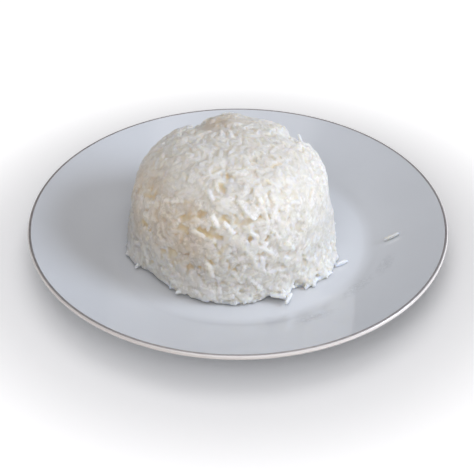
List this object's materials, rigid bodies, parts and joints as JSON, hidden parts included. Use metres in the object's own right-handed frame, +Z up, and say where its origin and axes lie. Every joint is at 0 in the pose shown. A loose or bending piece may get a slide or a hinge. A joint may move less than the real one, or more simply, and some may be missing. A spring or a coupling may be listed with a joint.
{
  "type": "plate of white rice",
  "caption": "Moulded mound of plain cooked white rice standing on a round white porcelain dinner plate, with a loose grain on the rim.",
  "frame": {"origin": "centre of the plate's foot ring, on the surface it stands on", "axes": "+Z up along the plate's axis; +X to the right and -Y towards a diner who has the loose grain on the right-hand side of the rim"},
  "size_m": [0.228, 0.228, 0.0722],
  "materials": {
    "glazed_porcelain": "smooth clear gloss glaze over white porcelain",
    "cooked_rice": "moist, softly glossy cooked grains"
  },
  "bodies": {
    "root": {"plate": "glazed_porcelain", "rice_mound": "cooked_rice", "loose_grain": "cooked_rice"}
  },
  "joints": []
}
